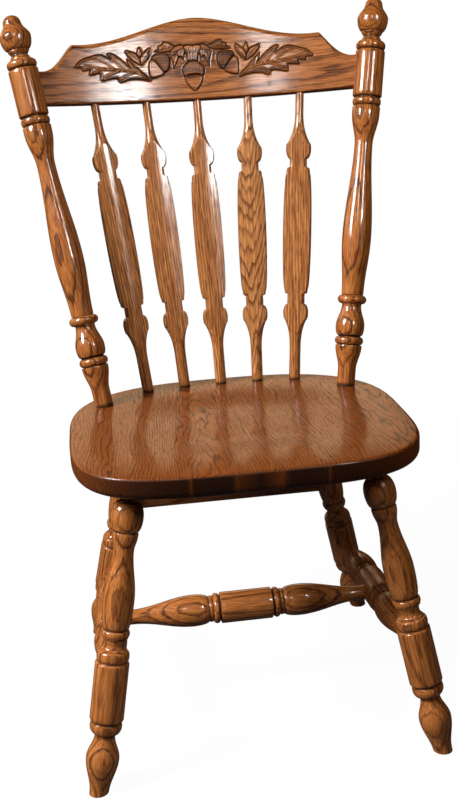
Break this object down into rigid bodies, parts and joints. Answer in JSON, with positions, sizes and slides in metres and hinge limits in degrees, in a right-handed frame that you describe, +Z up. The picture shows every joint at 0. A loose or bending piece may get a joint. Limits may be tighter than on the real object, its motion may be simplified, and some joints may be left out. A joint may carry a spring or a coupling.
{
  "type": "pressed back dining chair",
  "caption": "Turned oak side chair with a dished solid seat, splayed legs, turned stretchers, flat arrow spindles and a bent crest rail with pressed leaf ornament.",
  "frame": {"origin": "on the floor, under the middle of the chair's bounding box", "axes": "+Z up, +X to the right of someone facing the chair's front, the sitter faces -Y"},
  "size_m": [0.6068, 0.5623, 1.0478],
  "materials": {
    "seat_oak": "stained red oak under glossy lacquer",
    "turned_oak": "stained red oak under glossy lacquer, dark glaze in the grooves",
    "spindle_oak": "stained red oak under satin lacquer",
    "crest_oak": "stained red oak under glossy lacquer, dark glaze in the pressed lines",
    "pin_oak": "stained oak dowel, end cut flush"
  },
  "bodies": {
    "root": {"seat_board_1": "seat_oak", "seat_board_2": "seat_oak", "seat_board_3": "seat_oak", "seat_board_4": "seat_oak", "seat_board_5": "seat_oak", "front_leg_left": "turned_oak", "front_leg_right": "turned_oak", "rear_leg_left": "turned_oak", "rear_leg_right": "turned_oak", "side_stretcher_left": "turned_oak", "side_stretcher_right": "turned_oak", "cross_stretcher": "turned_oak", "rear_stretcher": "turned_oak", "back_post_left": "turned_oak", "back_post_right": "turned_oak", "spindle_1": "spindle_oak", "spindle_2": "spindle_oak", "spindle_3": "spindle_oak", "spindle_4": "spindle_oak", "spindle_5": "spindle_oak", "crest_rail": "crest_oak", "crest_pin_left": "pin_oak", "crest_pin_right": "pin_oak"}
  },
  "joints": []
}
